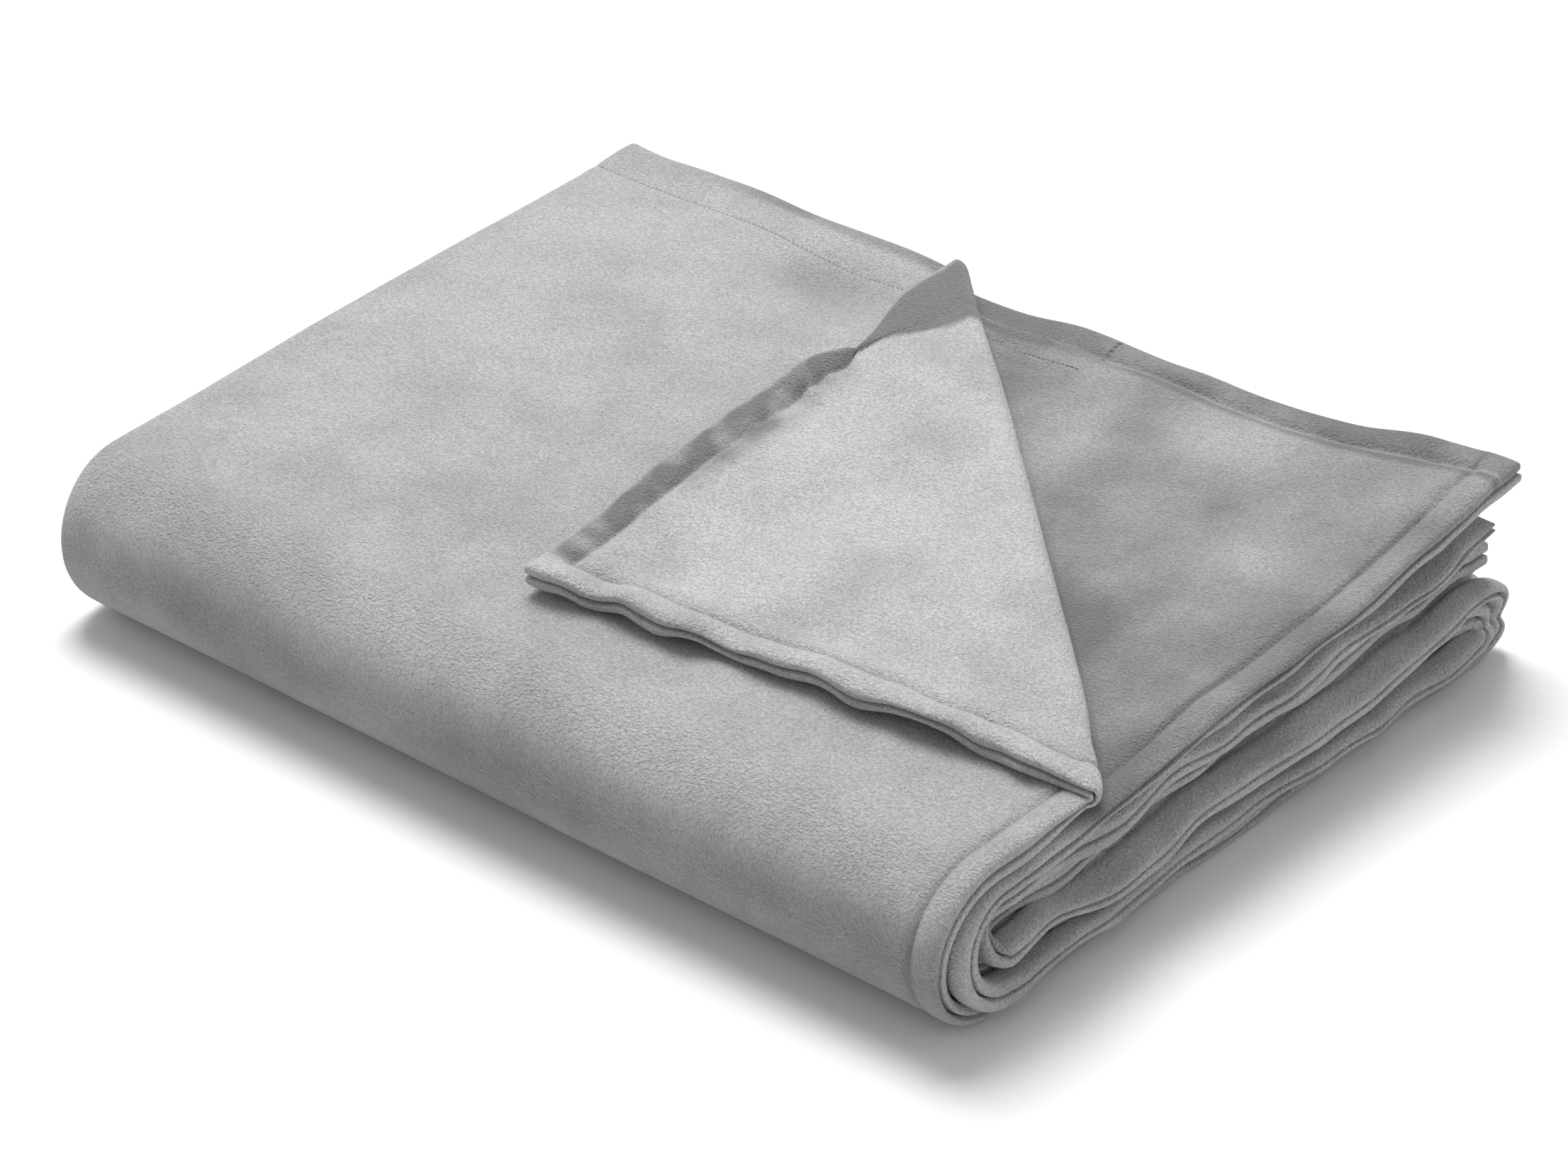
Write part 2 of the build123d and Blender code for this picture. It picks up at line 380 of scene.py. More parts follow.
hem_to_fold = from_hem(ACROSS - ARC_HALF)
strand = [ACROSS - stop for stop in reversed(hem_to_fold)]
arc_stops = even(-ARC_HALF, ARC_HALF, ARC_HALF / 4)[1:-1]
ACROSS_STOPS = [-stop for stop in reversed(strand)] + arc_stops + strand
print("rows across the whole cut:", len(ACROSS_STOPS))


# %% Cut, fold and thicken
def flat_cut(across_stops, along_stops):
    """A flat grid with a vertex at each pair of stops."""
    cut = bmesh.new()
    columns, rows = len(across_stops) - 1, len(along_stops) - 1
    bmesh.ops.create_grid(cut, x_segments=columns, y_segments=rows, size=1.0)
    for vert in cut.verts:
        i = round((vert.co.x + 1) / 2 * columns)
        j = round((vert.co.y + 1) / 2 * rows)
        vert.co = (across_stops[i], along_stops[j], 0)
    return cut


def trim_at_crease(cut, keep_corner):
    """Cuts the flat grid along the crease and keeps the corner, or all but the corner."""
    on_crease = (CREASE_POINT.x - SIDE_FOLD_X + ARC_HALF, Y_ENDS - CREASE_POINT.y, 0)
    outward = (CREASE_OUT.x, -CREASE_OUT.y, 0)
    everything = cut.verts[:] + cut.edges[:] + cut.faces[:]
    bmesh.ops.bisect_plane(
        cut,
        geom=everything,
        plane_co=on_crease,
        plane_no=outward,
        clear_outer=not keep_corner,
        clear_inner=keep_corner,
    )


def fold_up(cut, place, is_joined):
    """Adds the cut's second face, carries both faces to their place, and finds joined walls."""
    grown = bmesh.ops.extrude_face_region(cut, geom=cut.faces[:])["geom"]
    for item in grown:
        if isinstance(item, bmesh.types.BMVert):
            item.co.z = -1
    walls = []
    for face in cut.faces:
        heights = {round(vert.co.z) for vert in face.verts}
        if len(heights) == 2 and all(is_joined(vert.co.x, vert.co.y) for vert in face.verts):
            walls.append(face)
    # Each vertex keeps its nap and its painted shade in the brushed attribute.
    brushed = cut.verts.layers.float.new("brushed")
    for vert in cut.verts:
        side = "seam" if vert.co.z < -0.5 else "show"
        vert.co, vert[brushed] = place(vert.co.x, vert.co.y, side)
    return walls


def finish_piece(name, cut, walls):
    """Settles a folded cut and makes it an object, crisp only where it meets its neighbour."""
    crease = cut.edges.layers.float.new("crease_edge")
    for face in walls:
        for edge in face.edges:
            edge[crease] = 1.0
            edge.smooth = False
    for vert in cut.verts:
        vert.co = settle(vert.co)
    bmesh.ops.recalc_face_normals(cut, faces=cut.faces[:])
    for face in cut.faces:
        face.smooth = True
    mesh = bpy.data.meshes.new(name)
    cut.to_mesh(mesh)
    cut.free()
    piece = bpy.data.objects.new(name, mesh)
    bpy.context.scene.collection.objects.link(piece)
    rounding = piece.modifiers.new("Subdivision", "SUBSURF")
    rounding.levels = rounding.render_levels = 1
    print(name, len(mesh.polygons), "faces before subdivision")
    return piece


def flat_area(cut):
    return sum(face.calc_area() for face in cut.faces)


def bend_between(piece, shares):
    """Takes a share from 0 to 1 for each vertex, but keeps none: the vertices go back to their places and
    only the object's transform is baked.
    """
    places = [vert.co.copy() for vert in piece.data.vertices]
    for vert, share in zip(piece.data.vertices, shares):
        vert.co = (0, 0, share)
    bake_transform(piece)
    for vert, place in zip(piece.data.vertices, places):
        vert.co = place


# %% [markdown]
# ## The four quarters of each panel
# Each quarter is a U of two leaves round the side fold. The first quarter loses its corner
# at the crease, because the turned corner is a piece of its own that moves.

# %% How the nap lies, and where shade is painted
LIGHT_LAY = 0.12


def nap_and_painted_shade(leaf, x, y, face):
    """0 where the pile is combed towards the light, 1 where it is combed against it, with painted shade
    added: along the side hem's stitching, the turned corner's shadow on the bared back of leaf 7, and the
    dip behind the turned corner.
    """
    # Painted shade: a shade line along the side hem's row of stitches.
    lay_and_shade = LIGHT_LAY + 0.45 * bump((X_HEM - x - HEM_MARGIN) / SEAM_SHADE)
    if leaf == 7 and face == "back":
        # Leaf 7's bared back: darker where its nap lies the other way, painted shadow of the turned corner
        # near the crease, darker along its end hem, painted shade along its stitching, random clouds, and
        # more darkening towards the side hem.
        bared = ease((past_crease(x, y) + 0.02) / 0.03)
        hem = 0.3 * ease((y - Y_ENDS + 14 * MM) / (4 * MM))
        hem += 0.5 * bump((Y_ENDS - y - HEM_MARGIN) / SEAM_SHADE)
        clouds = 0.32 * ripple(x, y, 0.05, 38) + 0.14 * ease((x - 0.05) / 0.2)
        lay_and_shade += bared * (0.28 + 0.32 * bump(past_crease(x, y) / 0.07) + clouds + hem)
    if leaf == 8 and face == "front":
        # Top leaf: darker along its end hem, and painted shade in the dip behind the turned corner.
        hem = 0.6 * ease((y - Y_ENDS + 11 * MM) / (4 * MM)) * ease((x + 0.27) / 0.12)
        lay_and_shade += hem + 0.5 * mouth_dip(x, y)
    return min(lay_and_shade, 1.0)


# %% Quarters
ALONG_ENDS = from_hem(Y_ENDS - LONG_FOLD_Y - LAP)
ALONG_MIDDLE = even(LONG_FOLD_Y + LAP, END_FOLD_Y - LAP, 11 * MM)
BODY_OF_QUARTER = {1: "upper_half", 2: "lower_half", 3: "lower_half", 4: "upper_half"}
pieces = {}


def make_quarter(quarter, face):
    """One panel's quarter of the throw."""
    name = f"{face}_panel_quarter_{quarter}"
    has_end_hem = quarter in (1, 4)
    stops = ALONG_ENDS if has_end_hem else ALONG_MIDDLE
    alpha, beta = LEAVES_OF[quarter]

    def place(across, along, side):
        y = Y_ENDS - along if has_end_hem else along
        point = quarter_point(quarter, across, y, face, side)
        return point, nap_and_painted_shade(alpha if across > 0 else beta, point.x, point.y, face)

    def is_joined(across, along):
        if quarter == 1 and across > 0:
            x = SIDE_FOLD_X + across - ARC_HALF
            if abs(past_crease(x, Y_ENDS - along)) < 1e-5:
                return True
        if has_end_hem:
            return abs(along - stops[-1]) < 1e-6
        return min(abs(along - stops[0]), abs(along - stops[-1])) < 1e-6

    cut = flat_cut(ACROSS_STOPS, stops)
    if quarter == 1:
        trim_at_crease(cut, keep_corner=False)
    area = flat_area(cut)
    piece = finish_piece("plush_" + name, cut, fold_up(cut, place, is_joined))
    pieces[piece.name] = piece
    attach(piece, BODY_OF_QUARTER[quarter])
    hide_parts(name)


for face in ("front", "back"):
    for quarter in (1, 2, 3, 4):
        make_quarter(quarter, face)

# %% [markdown]
# ## The rolled fold
# Four leaves turn round the stack's long edge, each inside the one before. Every turn is its
# own piece, because it bends between the two halves when the throw is opened: its foot stays
# with the lower half, its top goes with the upper half.

# %% Rolled fold
FOLDED_STRAND = [-ARC_HALF] + arc_stops + strand
OTHER_STRAND = [-stop for stop in reversed(strand)]
BENDS = {
    "outermost": ("outer", FOLDED_STRAND),
    "second": ("outer", OTHER_STRAND),
    "third": ("inner", OTHER_STRAND),
    "innermost": ("inner", FOLDED_STRAND),
}


def make_long_fold(place_name, face):
    """One panel's turn round the rolled fold."""
    level, across_stops = BENDS[place_name]
    node = f"{face}_panel_{place_name}_long_fold"
    low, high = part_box(node)
    radius = (high[2] - low[2] - PANEL) / 2
    arc = math.pi * radius
    segments = max(8, round(arc / (4.2 * MM)))
    along_stops = [0, LAP / 2] + [LAP + arc * i / segments for i in range(segments + 1)]
    along_stops += [LAP * 1.5 + arc, LAP * 2 + arc]
    upper_quarter, lower_quarter = (1, 2) if level == "outer" else (4, 3)

    def place(across, along, side):
        if along < LAP:
            point = quarter_point(lower_quarter, across, LONG_FOLD_Y + LAP - along, face, side)
        elif along > LAP + arc:
            point = quarter_point(upper_quarter, across, LONG_FOLD_Y + along - LAP - arc, face, side)
        else:
            point = long_fold_point(level, across, math.pi * (along - LAP) / arc, face, side)
        # Painted shade: a shade line along the side hem's stitching.
        lay_and_shade = LIGHT_LAY + 0.45 * bump((ACROSS - abs(across) - HEM_MARGIN) / SEAM_SHADE)
        share = (along - LAP) / arc
        # Painted shade over the lower middle of the outer roll, which faces down, away from the overhead
        # light.
        if place_name == "outermost" and face == "front":
            lay_and_shade += 0.55 * ease((0.78 - share) / 0.30) * ease((share - 0.08) / 0.40)
        return point, min(lay_and_shade, 1.0)

    def is_joined(across, along):
        at_ends = min(along, abs(along - along_stops[-1])) < 1e-6
        return at_ends or abs(across + ARC_HALF) < 1e-6

    cut = flat_cut(across_stops, along_stops)
    area = flat_area(cut)
    shares = [min(max((vert.co.y - LAP) / arc, 0.0), 1.0) for vert in cut.verts]
    piece = finish_piece("plush_" + node, cut, fold_up(cut, place, is_joined))
    pieces[piece.name] = piece
    bend_between(piece, shares + shares)
    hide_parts(node)


for face in ("front", "back"):
    for place_name in BENDS:
        make_long_fold(place_name, face)

# %% [markdown]
# ## The end fold
# At the far end the lower half turns back on itself. The stiff hems can't follow so tight a
# turn, so they stand out of it as two small ears.


# %% End fold
# One arc for the whole width. It suits the outer strand; the inner one turns in less.
END_FOLD_ARC = math.pi * 19 * MM
END_FOLD_SEGMENTS = 18


def make_end_fold(face):
    """One panel's turn at the far end of the lower half."""
    node = face + "_panel_end_fold"
    arc = END_FOLD_ARC
    segments = END_FOLD_SEGMENTS
    along_stops = [0, LAP / 2] + [LAP + arc * i / segments for i in range(segments + 1)]
    along_stops += [LAP * 1.5 + arc, LAP * 2 + arc]

    def place(across, along, side):
        if along < LAP:
            point = quarter_point(2, across, END_FOLD_Y - LAP + along, face, side)
        elif along > LAP + arc:
            point = quarter_point(3, across, END_FOLD_Y - along + LAP + arc, face, side)
        else:
            point = end_fold_point(across, math.pi * (along - LAP) / arc, face, side)
        return point, LIGHT_LAY

    def is_joined(across, along):
        return min(along, abs(along - along_stops[-1])) < 1e-6

    cut = flat_cut(ACROSS_STOPS, along_stops)
    area = flat_area(cut)
    piece = finish_piece("plush_" + node, cut, fold_up(cut, place, is_joined))
    pieces[piece.name] = piece
    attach(piece, "lower_half")
    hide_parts(node)


for face in ("front", "back"):
    make_end_fold(face)

# %% [markdown]
# ## The turned corner
# The corner is cut with finer rows than the leaf that it belongs to, mirrored over the
# crease, and joined to the leaf by spinning its cut wall half a turn round the crease. Its
# hems are what the eye goes to: the end hem curls up and is pinched by a bartack, past it the
# cover's mouth stands open a little, and the side hem lies in slow waves.


# %% Shape of the turned corner
def corner_extra(x, y, from_side, from_end):
    """Shift of the turned corner beyond a plain mirror image: pull inwards, and raise."""
    out = past_crease(x, y)
    free = ease(out / 0.035)
    closed = ease((OPENING_FROM_CORNER - from_side) / (10 * MM) + 0.5)
    near_end = ease(1 - from_end / (45 * MM))
    curl = closed * max(0.0, 1 - from_end / (19 * MM)) ** 1.3 * (4.6 + 1.2 * ripple(x, 0, 0.05, 36))
    agape = ease((from_side - OPENING_FROM_CORNER) / 0.10) * ease(1 - from_end / (52 * MM))
    reach = 75 * MM if from_side > OPENING_FROM_CORNER else 32 * MM
    pinch = bump((from_side - OPENING_FROM_CORNER) / reach)
    gather = bump((from_side - 0.205) / 0.07) * bump((from_end - 19 * MM) / (28 * MM))
    wrinkles = 4.0 * gather * ripple(from_side + 0.4 * from_end, from_end * 0.2, 6.5 * MM, 31)
    near_side = ease(1 - from_side / (34 * MM))
    swell = near_side * (2.6 + 6.0 * ripple(y, 0.7, 0.026, 34))
    pillow = 2.2 * ease(from_end / 0.05) * ease(from_side / 0.05) * ripple(x, y, 0.09, 35)
    open_rim = 2.0 * (1 - closed) * agape * bump((out - 0.045) / 0.045)
    raised = free * (curl + wrinkles + swell + pillow + 1.2) + open_rim
    raised -= 2.2 * bump((from_side - OPENING_FROM_CORNER) / (6 * MM)) * near_end
    if from_side > OPENING_FROM_CORNER:
        squeeze = 0.55 * (1 - ease((from_side - OPENING_FROM_CORNER) / 0.08))
    else:
        squeeze = 0.55 * bump((from_side - OPENING_FROM_CORNER) / (18 * MM))
    bunched = squeeze * min(from_end, OPENING_DEPTH) * ease((0.12 - from_end) / 0.08) / MM
    inwards = (12.0 * pinch * near_end - bunched) * free
    sideways = near_side * free * (5.0 * ripple(y, 0.3, 0.05, 33) + 5.5 * ripple(y, 0.3, 0.024, 39))
    return Vector((sideways * MM, -inwards * MM, 0)), max(raised, 0.0) * MM


def corner_point(across, along, face, side):
    """A point of the turned corner, mirrored over the crease and given its own soft shape."""
    x, y = SIDE_FOLD_X + across - ARC_HALF, Y_ENDS - along
    flat = leaf_point(8, x, y, face, side)
    shift, raised = corner_extra(x, y, X_HEM - x, along)
    flat += shift
    turned = flat - 2 * past_crease(flat.x, flat.y) * CREASE_OUT
    turned.z = 2 * CREASE_POINT.z - flat.z + raised
    return turned


def corner_nap_and_painted_shade(across, along):
    """The turned corner's nap, with painted shade: the curled end hem's band is shaded in patches, partly
    from its nap lying the other way, with a lighter painted rim; a shade line runs along the side hem's
    stitching, and painted shadow lies on the flap beside the band.
    """
    from_side = ACROSS - across
    depth = HEM_MARGIN if from_side < OPENING_FROM_CORNER else mouth_depth(from_side)
    # Painted shade on the curled end hem's band, in patches, partly nap lying the other way; its rim is left
    # lighter, as a painted highlight.
    band = ease((depth + 2 * MM - along) / (4 * MM)) * ease((from_side - 0.012) / 0.01)
    mouth = ease((from_side - OPENING_FROM_CORNER) / (10 * MM))
    band_shade = 0.80 + 0.15 * mouth + (0.7 - 0.5 * mouth) * ripple(from_side, along, 0.012, 37)
    band_shade *= 0.35 + 0.65 * ease((along - 1 * MM) / (3 * MM))
    # Painted shade along the side hem's stitching.
    seam = 0.45 * bump((from_side - HEM_MARGIN) / SEAM_SHADE) * ease((along - 10 * MM) / (6 * MM))
    # Painted shadow on the flap just inside its end hem.
    patchy_shadow = 0.6 + 0.8 * ripple(from_side, along, 0.02, 40)
    past_hem = bump((along - depth - 4 * MM) / (16 * MM))
    valley = patchy_shadow * past_hem * bump((from_side - 0.17) / 0.11)
    return min(1.0, max(band_shade * band, valley, seam, 0.04))


# %% Make the turned corner
CORNER_ACROSS = [ACROSS - stop for stop in reversed(from_hem(0.372, 3.5 * MM))]
CORNER_ALONG = from_hem(0.340, 4.5 * MM)
SPIN_STEPS = 14
# For the flat size alone. The crease itself is 0.485 long, and the length is the back panel's.
CREASE_LENGTH = 0.46


def share_of_turn(point):
    """How far a point of the bend follows the turned corner: 1 at its top, 0 at its foot."""
    out = past_crease(point.x, point.y)
    return 1 - math.atan2(max(out, 0.0), point.z - CREASE_POINT.z) / math.pi


def make_corner(face):
    """One panel of the turned corner, with its bend round the crease."""
    name = face + "_panel_turned_corner"

    def place(across, along, side):
        return corner_point(across, along, face, side), corner_nap_and_painted_shade(across, along)

    def is_joined(across, along):
        x = SIDE_FOLD_X + across - ARC_HALF
        return abs(past_crease(x, Y_ENDS - along)) < 1e-5

    cut = flat_cut(CORNER_ACROSS, CORNER_ALONG)
    trim_at_crease(cut, keep_corner=True)
    inner = LEAF_GAP / 2 if face == "front" else LEAF_GAP / 2 + PANEL + PANEL_GAP
    area = flat_area(cut) + math.pi * (inner + PANEL / 2) * CREASE_LENGTH
    walls = fold_up(cut, place, is_joined)
    before_bend = len(cut.verts)
    around = set(walls)
    for wall in walls:
        around.update(wall.edges)
        around.update(wall.verts)
    spun = bmesh.ops.spin(
        cut,
        geom=list(around),
        cent=CREASE_POINT,
        axis=CREASE_ALONG,
        dvec=(0, 0, 0),
        angle=-math.pi,
        steps=SPIN_STEPS,
        use_duplicate=False,
    )
    last = [item for item in spun["geom_last"] if isinstance(item, bmesh.types.BMFace)]
    cut.verts.index_update()
    shares = [
        1.0 if vert.index < before_bend else share_of_turn(vert.co) for vert in cut.verts
    ]
    piece = finish_piece("plush_" + name, cut, last)
    pieces[piece.name] = piece
    bend_between(piece, shares)
    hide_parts(name, face + "_panel_corner_crease")
    heights = [vert.co.z for vert in piece.data.vertices]
    print(name, "from", round(min(heights) / MM, 1), "to", round(max(heights) / MM, 1), "mm high")


for face in ("front", "back"):
    make_corner(face)

# %% [markdown]
# ## The hem stitching
# Lockstitch in thread of the cloth's own grey, three stitches to the centimetre. It lies in
# the groove that it has pulled, so only short dashes of it show between the tufts. Each
# stitch is a small stretched ball, placed along the row that its hem follows.

# %% Stitches
STITCH = 3.2 * MM
THREAD_RADIUS = 0.42 * MM


def stitch_shape():
    """One stitch's vertices and faces: a ball of radius 1."""
    ball = bmesh.new()
    bmesh.ops.create_uvsphere(ball, u_segments=6, v_segments=4, radius=1.0)
    verts = [vert.co.copy() for vert in ball.verts]
    faces = [[vert.index for vert in face.verts] for face in ball.faces]
    ball.free()
    return verts, faces


BALL_VERTS, BALL_FACES = stitch_shape()


def sew(path, verts, faces):
    """Adds the stitches along a path, which gives a point for each distance in metres."""
    length, point_at = path
    for i in range(int(length / STITCH)):
        start = settle(point_at((i + 0.08) * STITCH))
        end = settle(point_at((i + 0.86) * STITCH))
        along = end - start
        if along.length < 0.5 * MM:
            continue
        turn = along.to_track_quat("Z", "Y").to_matrix().to_4x4()
        stretch = Matrix.Diagonal((THREAD_RADIUS, THREAD_RADIUS, along.length / 2, 1))
        place = Matrix.Translation((start + end) / 2) @ turn @ stretch
        first = len(verts)
        verts.extend(place @ vert for vert in BALL_VERTS)
        faces.extend([first + index for index in face] for face in BALL_FACES)


def side_row(leaf, face, y_from, y_to):
    """The side hem's row on one leaf."""
    def point_at(distance):
        return leaf_point(leaf, X_HEM - HEM_MARGIN, y_from + distance, face, "show")

    return y_to - y_from, point_at


def end_row(leaf, face, x_from, x_to, margin):
    """The end hem's row on one leaf."""
    def point_at(distance):
        return leaf_point(leaf, x_from + distance, Y_ENDS - margin, face, "show")

    return x_to - x_from, point_at


def corner_row(face, across_from, along_from, across_to, along_to):
    """A row on the turned corner, straight on the flat cut."""
    start, end = Vector((across_from, along_from)), Vector((across_to, along_to))
    length = (end - start).length

    def point_at(distance):
        spot = start.lerp(end, distance / length)
        return corner_point(spot.x, spot.y, face, "show")

    return length, point_at


def make_thread(name, paths, node=None):
    """One object for all the stitches that a CAD thread node stands for."""
    verts, faces = [], []
    for path in paths:
        sew(path, verts, faces)
    mesh = bpy.data.meshes.new(name)
    mesh.from_pydata(verts, [], faces)
    mesh.shade_smooth()
    thread = bpy.data.objects.new(name, mesh)
    bpy.context.scene.collection.objects.link(thread)
    if node:
        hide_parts(node)
    threads.append(thread)
    return thread


def sew_node(name, rows, body):
    """The stitches of one CAD thread node, riding on one body."""
    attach(make_thread("stitches_" + name, rows, name), body)


threads = []
CREASE_SIDE_Y = CREASE_POINT.y - (X_HEM - HEM_MARGIN - CREASE_POINT.x) * CREASE_OUT.x / CREASE_OUT.y


def crease_x(y):
    """Where the crease axis crosses a line along X."""
    return CREASE_POINT.x - (y - CREASE_POINT.y) * CREASE_OUT.y / CREASE_OUT.x


for quarter, (alpha, beta) in LEAVES_OF.items():
    rows = []
    for leaf in (alpha, beta):
        y_to = Y_ENDS - HEM_MARGIN if leaf > 4 else END_FOLD_Y
        y_to = CREASE_SIDE_Y - 2 * MM if leaf == 8 else y_to
        rows += [side_row(leaf, face, LONG_FOLD_Y, y_to) for face in ("front", "back")]
    name = f"side_hem_thread_quarter_{quarter}"
    sew_node(name, rows, BODY_OF_QUARTER[quarter])

BARTACK_X = X_HEM - OPENING_FROM_CORNER
rows = []
for face in ("front", "back"):
    rows.append(end_row(7, face, SIDE_FOLD_X, BARTACK_X - 2 * MM, OPENING_MARGIN))
    rows.append(end_row(8, face, SIDE_FOLD_X, crease_x(Y_ENDS - OPENING_MARGIN) - 2 * MM, OPENING_MARGIN))
sew_node("opening_hem_thread_quarter_1", rows, "upper_half")

rows = [end_row(7, face, BARTACK_X, X_HEM - HEM_MARGIN, HEM_MARGIN) for face in ("front", "back")]
sew_node("end_hem_thread_quarter_1", rows, "upper_half")

rows = [
    end_row(leaf, face, SIDE_FOLD_X, X_HEM - HEM_MARGIN, HEM_MARGIN)
    for leaf in (5, 6)
    for face in ("front", "back")
]
sew_node("end_hem_thread_quarter_4", rows, "upper_half")

# %% Stitches on the turned corner
crease_along = Y_ENDS - CREASE_SIDE_Y
crease_across = ACROSS - (X_HEM - crease_x(Y_ENDS - OPENING_MARGIN))
seam_across = ACROSS - HEM_MARGIN
bartack_across = ACROSS - OPENING_FROM_CORNER
rows = {
    "side_hem_thread_turned_corner": (seam_across, HEM_MARGIN, seam_across, crease_along - 2 * MM),
    "end_hem_thread_turned_corner": (bartack_across, HEM_MARGIN, seam_across, HEM_MARGIN),
    "opening_hem_thread_turned_corner": (
        crease_across + 22 * MM,
        OPENING_MARGIN,
        bartack_across - 3 * MM,
        OPENING_MARGIN,
    ),
}
for name, ends in rows.items():
    sew_node(name, [corner_row(face, *ends) for face in ("front", "back")], "corner_flap")

# %% Bartacks: bars of close stitches across the hem, at the ends of the cover's mouth
bars = [
    corner_row("back", bartack_across + i * 0.8 * MM, 3 * MM, bartack_across + i * 0.8 * MM, 22 * MM)
    for i in range(3)
]
sew_node("opening_bartack_turned_corner", bars, "corner_flap")


def bar_row(leaf, face, x):
    def point_at(distance):
        return leaf_point(leaf, x, Y_ENDS - 3 * MM - distance, face, "show")

    return 19 * MM, point_at


bars = [bar_row(7, "back", BARTACK_X + i * 0.8 * MM) for i in range(3)]
sew_node("opening_bartack_quarter_1", bars, "upper_half")


# %% Stitches round the rolled fold
def roll_row(face):
    radius = HEIGHT / 2

    def point_at(distance):
        return long_fold_point("outer", ACROSS - HEM_MARGIN, distance / radius, face, "show")

    return math.pi * radius, point_at


roll_thread = make_thread("stitches_side_hem_thread_long_fold", [roll_row("front")])
per_stitch = len(BALL_VERTS)
stitch_count = len(roll_thread.data.vertices) // per_stitch
shares = [(i // per_stitch + 0.5) / stitch_count for i in range(len(roll_thread.data.vertices))]
bend_between(roll_thread, shares)
print("stitched rows:", len(threads))

# %% [markdown]
# ## Plush
# The cloth is made as a warp-knit polyester with a sheared pile two to three millimetres deep.
# The pile leans, and where it has been combed the other way it looks darker, which gives the
# slow clouds. Close to, it parts into small tufts, with painted shade in the gaps. The
# brushed attribute adds painted shade at the stitching, on the roll and on the turned
# corner. At a grazing angle the tips of the pile catch the light, which is what sheen is for.


# %% Colours and a helper for nodes
def linear(hex_colour):
    """An sRGB hex colour as the linear colour that a shader wants."""
    parts = [int(hex_colour[i : i + 2], 16) / 255 for i in (1, 3, 5)]
    return tuple(p / 12.92 if p < 0.04045 else ((p + 0.055) / 1.055) ** 2.4 for p in parts) + (1.0,)


def add_node(material, kind, settings=(), **inputs):
    """Adds a shader node, sets its properties, and sets or links its inputs."""
    node = material.node_tree.nodes.new(kind)
    for name, value in dict(settings).items():
        setattr(node, name, value)
    for name, value in inputs.items():
        socket = node.inputs[name.replace("_", " ")]
        if isinstance(value, bpy.types.NodeSocket):
            material.node_tree.links.new(value, socket)
        else:
            socket.default_value = value
    return node


# %% Plush material
TUFT = 1.35 * MM
FIBRE = 0.55 * MM
CLOUD = 60 * MM


def make_plush(name, pale, dark_lay_and_shade, shadow):
    """Sheared polyester plush: tufts with painted shade in their gaps, clouds where the nap is combed, nap
    and painted shade from the brushed attribute, and bright tips from sheen.
    """
    plush = bpy.data.materials.new(name)
    plush.use_nodes = True
    plush.node_tree.nodes.clear()
    where = add_node(plush, "ShaderNodeTexCoord").outputs["Object"]
    combed = add_node(plush, "ShaderNodeMapping", Vector=where, Scale=(0.75, 1.0, 1.0))
    tufts = add_node(
        plush,
        "ShaderNodeTexNoise",
        Vector=combed.outputs["Vector"],
        Scale=1 / TUFT,
        Detail=2.0,
        Distortion=0.6,
    )
    fibres = add_node(plush, "ShaderNodeTexNoise", Vector=where, Scale=1 / FIBRE, Detail=1.0)
    clouds = add_node(plush, "ShaderNodeTexNoise", Vector=where, Scale=1 / CLOUD, Detail=3.0, Roughness=0.55)
    lay_and_shade = add_node(plush, "ShaderNodeAttribute", {"attribute_name": "brushed"}).outputs["Fac"]
    cloud_part = add_node(
        plush, "ShaderNodeMapRange", Value=clouds.outputs["Fac"], From_Min=0.38, From_Max=0.66, To_Max=0.30
    )
    brushed = add_node(plush, "ShaderNodeMath", {"operation": "ADD", "use_clamp": True})
    plush.node_tree.links.new(cloud_part.outputs["Result"], brushed.inputs[0])
    plush.node_tree.links.new(lay_and_shade, brushed.inputs[1])
    # Mixes from the pale colour towards the darker one by the clouds and the brushed attribute, which
    # carries painted shade.
    ground = add_node(
        plush, "ShaderNodeMix", {"data_type": "RGBA"}, Factor=brushed.outputs["Value"]
    )
    ground.inputs[6].default_value = linear(pale)
    ground.inputs[7].default_value = linear(dark_lay_and_shade)
    # Painted shade: low spots of the tuft noise take the shadow colour, as shade in the gaps of the pile.
    between = add_node(
        plush,
        "ShaderNodeMapRange",
        Value=tufts.outputs["Fac"],
        From_Min=0.30,
        From_Max=0.58,
        To_Min=0.36,
        To_Max=0.0,
    )
    colour = add_node(plush, "ShaderNodeMix", {"data_type": "RGBA"}, Factor=between.outputs["Result"])
    plush.node_tree.links.new(ground.outputs[2], colour.inputs[6])
    colour.inputs[7].default_value = linear(shadow)
    pile = add_node(plush, "ShaderNodeMath", {"operation": "MULTIPLY_ADD"})
    plush.node_tree.links.new(fibres.outputs["Fac"], pile.inputs[0])
    pile.inputs[1].default_value = 0.35
    plush.node_tree.links.new(tufts.outputs["Fac"], pile.inputs[2])
    relief = add_node(plush, "ShaderNodeBump", Height=pile.outputs["Value"], Strength=1.0, Distance=2.2 * MM)
    shader = add_node(
        plush,
        "ShaderNodeBsdfPrincipled",
        Base_Color=colour.outputs[2],
        Normal=relief.outputs["Normal"],
        Roughness=0.92,
        Metallic=0.0,
        IOR=1.45,
        Sheen_Weight=0.35,
        Sheen_Roughness=0.45,
    )
    output = add_node(plush, "ShaderNodeOutputMaterial")
    plush.node_tree.links.new(shader.outputs["BSDF"], output.inputs["Surface"])
    return plush


